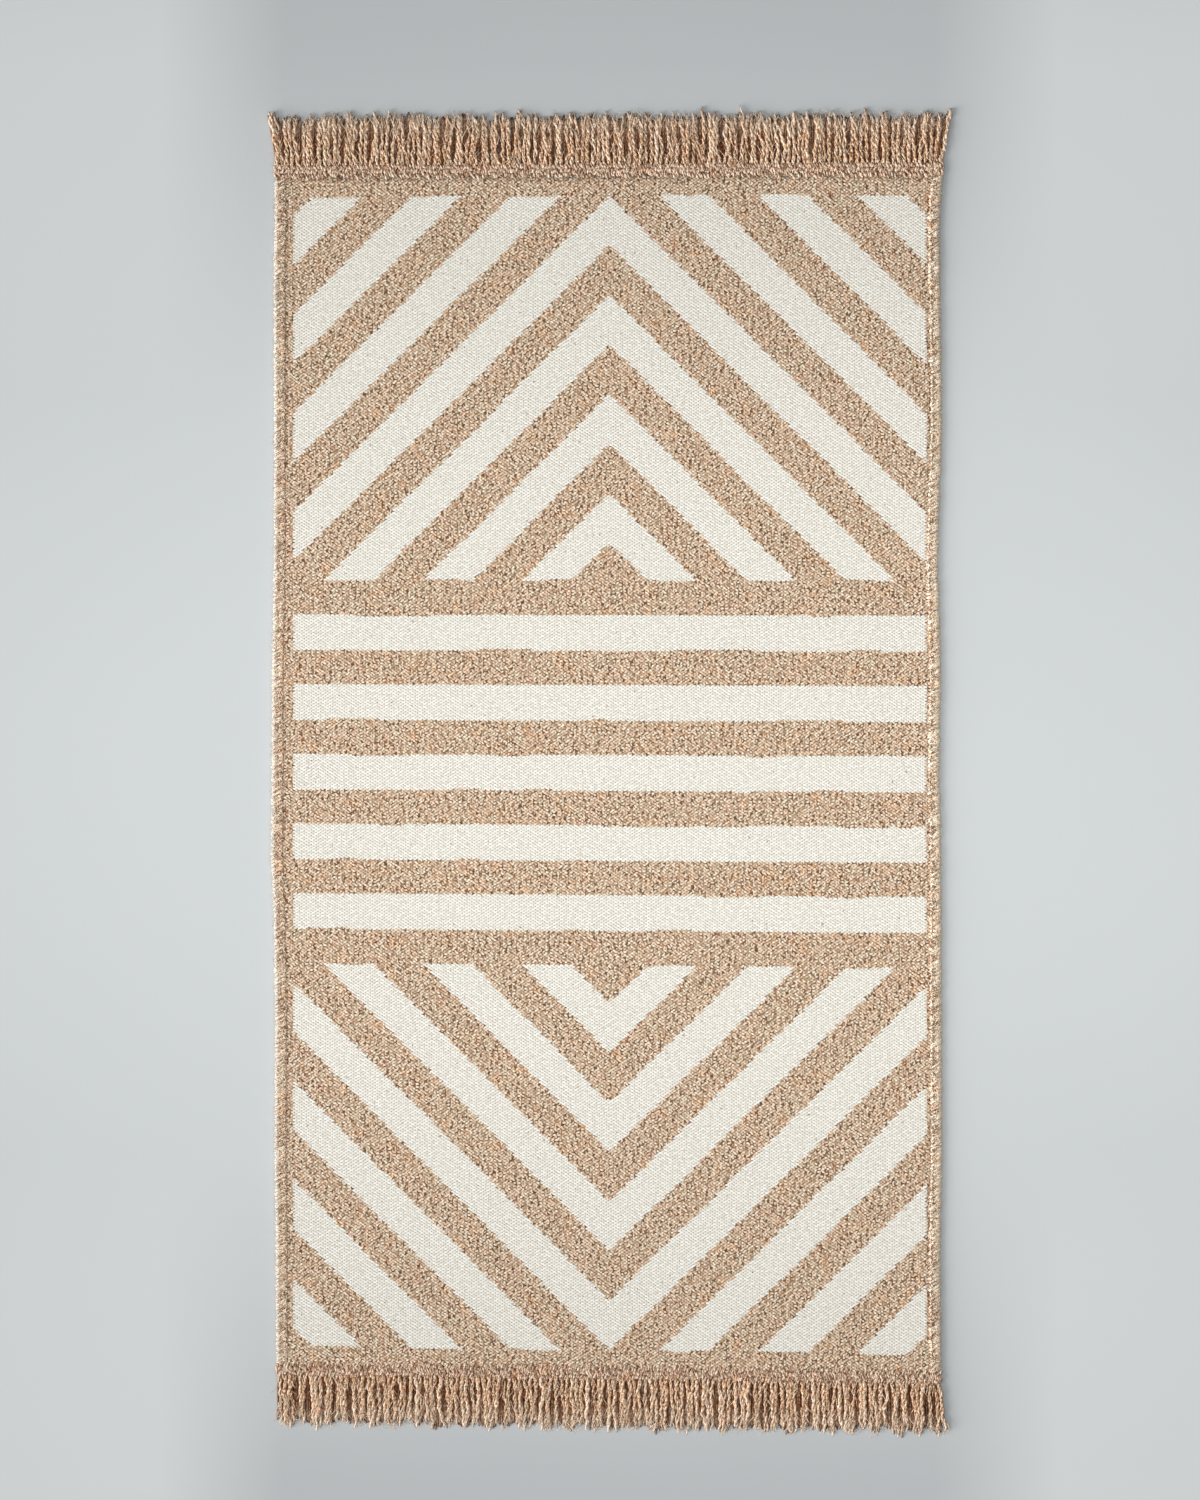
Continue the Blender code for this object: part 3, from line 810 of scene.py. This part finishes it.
def smooth_course(course, steps):
    """Points read at even shares from a smooth curve through each course's corners."""
    before, after = 2 * course[:, :1] - course[:, 1:2], 2 * course[:, -1:] - course[:, -2:-1]
    corners = np.concatenate([before, course, after], axis=1)
    spans = course.shape[1] - 1
    at = np.linspace(0, spans, steps)
    low = np.minimum(at.astype(int), spans - 1)
    t = (at - low)[None, :, None]
    a, b, c, d = (corners[:, low + k] for k in range(4))
    return 0.5 * (
        2 * b + (c - a) * t + (2 * a - 5 * b + 4 * c - d) * t**2 + (3 * b - a - 3 * c + d) * t**3
    )


def strand_courses(end):
    """Each strand's (x, reach) at STRAND_POINTS places from its root to its tip."""
    roots = strand_roots(end)
    corners = [np.stack([roots, 0 * roots], axis=1)]
    corners += [strand_corners(end, station) for station in FRINGE_STATIONS]
    course = smooth_course(np.stack(corners, axis=1), STRAND_POINTS)
    return course[..., 0], course[..., 1]


def locks(x, draw):
    """The number of each strand's lock, and the strands' x with every lock drawn together."""
    sizes = draw.permutation(np.tile(LOCKS, 1 + len(x) // sum(LOCKS)))
    number = np.repeat(np.arange(len(sizes)), sizes)[:len(x)]
    middle = np.stack([x[number == lock].mean(axis=0) for lock in range(number[-1] + 1)])
    return number, x + (middle[number] - x) * LOCK_PULL * np.minimum(np.linspace(0, 3, STRAND_POINTS), 1)


def plies(end, x, reach, lock, draw):
    """The two twisted plies of every strand."""
    each = (len(x), 1)
    lock_shade = draw.uniform(0, 1, lock[-1] + 1)[lock][:, None]
    share = np.linspace(0, 1, STRAND_POINTS)
    lift = draw.normal(0, STITCH_STRAY, each) - np.interp(share, *TIP_DROP)
    twist = draw.uniform(0, math.tau, each)
    twist = twist + math.tau * reach / TWIST_LENGTH * draw.uniform(0.7, 1.3, each)
    strand_shade = 0.35 * lock_shade + 0.65 * draw.uniform(0, 1, each)
    thickness = draw.uniform(*THICKNESS, each)
    groups = []
    for turn in (twist, twist + math.pi):
        stray = wavering(draw, x.shape, TIP_STRAY) * np.maximum(share - STRAY_FROM, 0) * 2.5
        ply_x = x + PLY_SPREAD * np.cos(turn) + wavering(draw, x.shape, STRAND_STRAY) + stray
        ply_reach = reach + draw.normal(*PLY_LENGTHS, each) * share**3
        y = np.polyval(ROOT_LINES[end], ply_x) + OUTWARD[end] * ply_reach
        uneven_radii = PLY_RADIUS * thickness * (1 + wavering(draw, x.shape, 0.15))
        radii = uneven_radii * np.interp(share, TIP_TAPER, [1, 0.95, 0.5])
        z = np.maximum(STRAND_HEIGHT + lift + STRAND_RISE * np.sin(turn), radii + 0.00005)
        shades = np.clip(0.7 * strand_shade + 0.3 * draw.uniform(0, 1, each), 0, 1)
        groups.append((np.stack([ply_x, y, z], axis=-1), radii, shades, np.interp(share, *PLY_FRAY)))
    return groups


def under_yarns(end, x, reach, draw):
    """The yarns beneath, spread evenly from each strand to the next, so that no floor shows between, and
    painted darker as shade.
    """
    strand = np.arange(0, len(x) - 0.999, 1 / UNDER_YARNS)
    low = np.minimum(strand.astype(int), len(x) - 2)
    share = (strand - low)[:, None]
    kept = np.linspace(0, STRAND_POINTS - 1, UNDER_POINTS).astype(int)
    under_x = x[low][:, kept] * (1 - share) + x[low + 1][:, kept] * share
    under_reach = reach[low][:, kept] * (1 - share) + reach[low + 1][:, kept] * share
    shape = under_x.shape
    at = np.linspace(0, 1, UNDER_POINTS)
    under_x = under_x + wavering(draw, shape, 0.0006)
    under_reach = under_reach + draw.normal(*UNDER_LENGTHS, (shape[0], 1)) * at**3
    radii = UNDER_RADIUS * (1 + wavering(draw, shape, 0.10)) * np.interp(at, TIP_TAPER, [1, 1, 0.5])
    y = np.polyval(ROOT_LINES[end], under_x) + OUTWARD[end] * under_reach
    # Only the darker tans: painted shade for yarns that lie beneath the strands.
    shades = draw.uniform(0, 0.45, (shape[0], 1))
    return np.stack([under_x, y, radii + 0.0002], axis=-1), radii, shades, np.interp(at, *UNDER_FRAY)


def loose_fibres(end, x, reach, draw, number, spread, length, height, radius, paleness):
    """That many fibres to each strand, which leave it at a slant. spread is a pair for where along it
    they start, as a beta distribution, and length and height are ranges."""
    each = (len(x) * number, 1)
    strand = np.repeat(np.arange(len(x)), number)
    low = (draw.beta(*spread, each[0]) * (STRAND_POINTS - 1)).astype(int)
    base_x = x[strand, low] + draw.normal(0, FIBRE_STRAY, each[0])
    length = draw.uniform(*length, each)
    slant, bend = draw.normal(0, FIBRE_SLANT, each), draw.normal(0, FIBRE_BEND, each)
    at = np.linspace(0, 1, len(FIBRE_TAPER))
    fibre_x = base_x[:, None] + length * (slant * at + bend * at**2 * 0.5)
    fibre_reach = reach[strand, low][:, None] + length * (at - 0.3)
    y = np.polyval(ROOT_LINES[end], fibre_x) + OUTWARD[end] * fibre_reach
    z = draw.uniform(*height, each) * (1 - 0.25 * at)
    radii = radius * np.array(FIBRE_TAPER) * draw.uniform(0.7, 1.3, each)
    return np.stack([fibre_x, y, z], axis=-1), radii, draw.uniform(0.2, 1, each), paleness


HEADING_TONES = [
    (0.00, srgb(122, 90, 66)),
    (0.20, srgb(178, 143, 116)),
    (0.45, srgb(210, 176, 149)),
    (0.70, srgb(230, 202, 176)),
    (1.00, srgb(250, 235, 217)),
]
FRINGE_TONES = [
    (0.00, srgb(140, 95, 62)),
    (0.20, srgb(192, 148, 111)),
    (0.45, srgb(225, 185, 148)),
    (0.70, srgb(245, 212, 179)),
    (0.90, srgb(251, 231, 207)),
    (1.00, srgb(253, 245, 231)),
]
FRAYED_TIP = srgb(238, 226, 208)
# Heights between which the heading's and the fringe's painted shade fades out, and what it leaves of a
# colour, dark brown between the strands.
HEADING_SHADED_HEIGHTS = (0.0018, 0.0042)
FRINGE_SHADED_HEIGHTS = (0.0021, 0.0044)
FRINGE_PIT_SHADE = (0.26, 0.145, 0.085, 1)
FLECK_STREAK = 0.6
fringe_yarn = yarn_material(
    "fringe_yarn", FRINGE_TONES, FRAYED_TIP, FRINGE_SHADED_HEIGHTS, FRINGE_PIT_SHADE,
    strand_share=0.60, fleck_share=3.4, streak=FLECK_STREAK,
)
heading_yarn = yarn_material(
    "heading_yarn", HEADING_TONES, FRAYED_TIP, HEADING_SHADED_HEIGHTS, EDGE_PIT_SHADE,
    strand_share=0.60, fleck_share=3.2, streak=FLECK_STREAK,
)
for seed, end in enumerate(("top", "bottom")):
    draw = np.random.default_rng(40 + seed)
    stitches = yarn_mesh("heading_" + end, heading_stitches(end, draw), UP)
    place_piece("heading_" + end, stitches, heading_yarn, "fringe_yarn")
    core = yarn_mesh("heading_core_" + end, [heading_core(end, draw)], UP)
    place_piece("heading_core_" + end, core, heading_yarn, "fringe_yarn")
    x, reach = strand_courses(end)
    lock, drawn_x = locks(x, draw)
    bent = sum(wavering(draw, x.shape, size, waves) for size, waves in BENDS)
    drawn_x = drawn_x + bent * np.minimum(np.linspace(0, 4, STRAND_POINTS), 1)
    strands = yarn_mesh("fringe_strands_" + end, plies(end, drawn_x, reach, lock, draw), UP)
    place_piece("fringe_strands_" + end, strands, fringe_yarn, "fringe_yarn", "fringe_" + end)
    under = yarn_mesh("fringe_under_" + end, [under_yarns(end, x, reach, draw)], UP, UNDER_SIDES)
    place_piece("fringe_under_" + end, under, fringe_yarn, "fringe_yarn")
    hairs = [
        loose_fibres(end, drawn_x, reach, draw, **TIP_HAIRS),
        loose_fibres(end, drawn_x, reach, draw, **WISPS),
    ]
    hairs = yarn_mesh("fringe_hairs_" + end, hairs, UP, HAIR_SIDES)
    place_piece("fringe_hairs_" + end, hairs, fringe_yarn, "fringe_yarn")

# ---- Floor and light --------------------------------------------------------------------------------
# A pale floor, cool grey, painted darker as shade in a band beyond each end of the rug, and painted
# lighter beside that band. Soft window light from low on the left is the key, and a long softbox
# across the rug fills from overhead, so the weave shows its grain and the right edge a short shadow.
FLOOR_SIZE = 44.0
FLOOR_TONES = [(0.3, (0.620, 0.650, 0.655, 1)), (0.7, (0.630, 0.660, 0.664, 1))]
FLOOR_SWELLS = 2.0  # to the metre, from the one tone to the other
ENDS_START, ENDS_FULL = 0.45, 0.85  # from the middle of the floor along y, where its painted shade and light set in
ENDS_LAST, ENDS_OVER = 1.10, 2.00  # and where they fade out again
BAND_HALF_WIDTH, BAND_FADE = 0.39, 0.15  # of the band of painted shade beyond the rug's ends
# What the painted shade leaves of the floor's colour beyond the rug's ends, and the painted light beside
# it.
PAINTED_SHADE_TONE, PAINTED_LIGHT_TONE = (0.88, 0.87, 0.88, 1), (1.15, 1.145, 1.13, 1)
KEY = {"from": Vector((-1.0, -0.50, 0.28)), "strength": 4.9, "spread": math.radians(42)}
SOFTBOX = {"place": (0.0, -0.03, 1.3), "length": 3.0, "width": 1.1, "power": 17.8}
STUDIO_TONE, STUDIO_STRENGTH = (0.96, 0.98, 1.0, 1), 0.125

half = FLOOR_SIZE / 2
corners = np.array([(-half, -half, 0), (half, -half, 0), (half, half, 0), (-half, half, 0)])
floor = bpy.data.objects.new("floor", mesh_of("floor", corners, np.array([[0, 1, 2, 3]])))
floor_paint, floor_shader, floor_place = blank_material("pale_floor", roughness=0.9, sheen=0.0)
floor_x, floor_y, _ = split(floor_place)
towards_ends = ((abs(floor_y) - ENDS_START) / (ENDS_FULL - ENDS_START)).clamped()
towards_ends = towards_ends * ((ENDS_OVER - abs(floor_y)) / (ENDS_OVER - ENDS_LAST)).clamped()
beside_band = ((abs(floor_x) - BAND_HALF_WIDTH) / BAND_FADE).clamped()
painted_end_shade_and_light = mix(towards_ends, FULL_LIGHT, mix(beside_band, PAINTED_SHADE_TONE, PAINTED_LIGHT_TONE))
floor_tone = ramp(noise(floor_place, FLOOR_SWELLS), FLOOR_TONES)
mix(1.0, floor_tone, painted_end_shade_and_light, "MULTIPLY").into(floor_shader, "Base Color")
floor.data.materials.append(floor_paint)
bpy.context.scene.collection.objects.link(floor)

window = bpy.data.objects.new("window_left", bpy.data.lights.new("window_left", "SUN"))
window.data.energy = KEY["strength"]
window.data.angle = KEY["spread"]
window.rotation_euler = KEY["from"].to_track_quat("Z", "Y").to_euler()
softbox = bpy.data.objects.new("softbox", bpy.data.lights.new("softbox", "AREA"))
softbox.data.shape = "RECTANGLE"
softbox.data.size, softbox.data.size_y = SOFTBOX["length"], SOFTBOX["width"]
softbox.data.energy = SOFTBOX["power"]
softbox.location = SOFTBOX["place"]
softbox.visible_camera = False
for light in (window, softbox):
    bpy.context.scene.collection.objects.link(light)

world = bpy.data.worlds.new("studio")
world.use_nodes = True
backdrop = world.node_tree.nodes["Background"]
backdrop.inputs["Color"].default_value = STUDIO_TONE
backdrop.inputs["Strength"].default_value = STUDIO_STRENGTH
bpy.context.scene.world = world
bpy.context.scene.view_settings.view_transform = "Standard"
